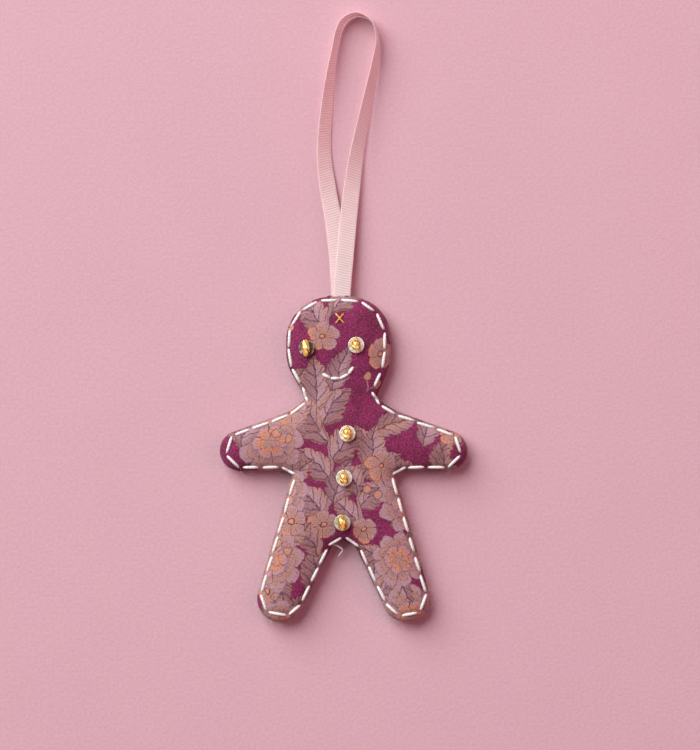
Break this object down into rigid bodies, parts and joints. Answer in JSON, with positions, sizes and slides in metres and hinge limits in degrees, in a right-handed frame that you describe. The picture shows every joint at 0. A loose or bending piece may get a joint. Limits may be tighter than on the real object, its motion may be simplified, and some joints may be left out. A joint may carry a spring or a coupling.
{
  "type": "fabric gingerbread man ornament",
  "caption": "Flat stuffed gingerbread man sewn from printed cotton with a running stitch round its edge, sequin eyes and buttons under gold beads, and a ribbon loop to hang it by.",
  "frame": {"origin": "bottom centre of the figure where it lies on its back, without the ribbon", "axes": "+Y from the feet to the head, +Z out of the face, +X to the viewer's right"},
  "size_m": [0.0844, 0.2081, 0.0127],
  "materials": {
    "printed_cotton": "plain weave cotton, printed with leaves and blossoms",
    "white_thread": "thick twisted cotton thread",
    "gold_thread": "metallic sewing thread",
    "sequin": "clear champagne, glossy",
    "gold_bead": "polished gold",
    "ribbon": "grosgrain, satin sheen",
    "stuffing": "loose fibre"
  },
  "bodies": {
    "figure": {"front_panel": "printed_cotton", "back_panel": "printed_cotton", "running_stitch": "white_thread", "smile_stitch": "white_thread", "cross_stitch": "gold_thread", "ribbon_tail_front": "ribbon", "ribbon_tail_back": "ribbon", "sequin_eye_left": "sequin", "sequin_eye_right": "sequin", "sequin_button_top": "sequin", "sequin_button_middle": "sequin", "sequin_button_bottom": "sequin", "bead_thread_eye_left": "gold_thread", "bead_thread_eye_right": "gold_thread", "bead_thread_button_top": "gold_thread", "bead_thread_button_middle": "gold_thread", "bead_thread_button_bottom": "gold_thread", "stuffing_head": "stuffing", "stuffing_body": "stuffing", "stuffing_arm_left": "stuffing", "stuffing_arm_right": "stuffing", "stuffing_leg_left": "stuffing", "stuffing_leg_right": "stuffing"},
    "hanging_loop": {"ribbon_loop": "ribbon"},
    "bead_eye_left": {"bead_eye_left": "gold_bead"},
    "bead_eye_right": {"bead_eye_right": "gold_bead"},
    "bead_button_top": {"bead_button_top": "gold_bead"},
    "bead_button_middle": {"bead_button_middle": "gold_bead"},
    "bead_button_bottom": {"bead_button_bottom": "gold_bead"}
  },
  "joints": [
    {"name": "ribbon_fold", "type": "hinge", "parent": "figure", "child": "hanging_loop", "pos_m": [-0.0009, 0.05625, 0.0041], "axis": [1, 0, 0], "range_deg": [-90, 90]},
    {"name": "bead_roll_eye_left", "type": "hinge", "parent": "figure", "child": "bead_eye_left", "pos_m": [-0.01283, 0.03799, 0.01077], "axis": [-0.0002, 1, 0.0028], "continuous": true},
    {"name": "bead_roll_eye_right", "type": "hinge", "parent": "figure", "child": "bead_eye_right", "pos_m": [0.00434, 0.03901, 0.01114], "axis": [0, 1, -0.0038], "continuous": true},
    {"name": "bead_roll_button_top", "type": "hinge", "parent": "figure", "child": "bead_button_top", "pos_m": [0.0013, 0.0089, 0.01115], "axis": [0, 1, 0], "continuous": true},
    {"name": "bead_roll_button_middle", "type": "hinge", "parent": "figure", "child": "bead_button_middle", "pos_m": [0.0002, -0.0062, 0.01115], "axis": [0, 1, 0], "continuous": true},
    {"name": "bead_roll_button_bottom", "type": "hinge", "parent": "figure", "child": "bead_button_bottom", "pos_m": [-0.00039, -0.02169, 0.01083], "axis": [0.0004, 0.9872, 0.1592], "continuous": true}
  ]
}
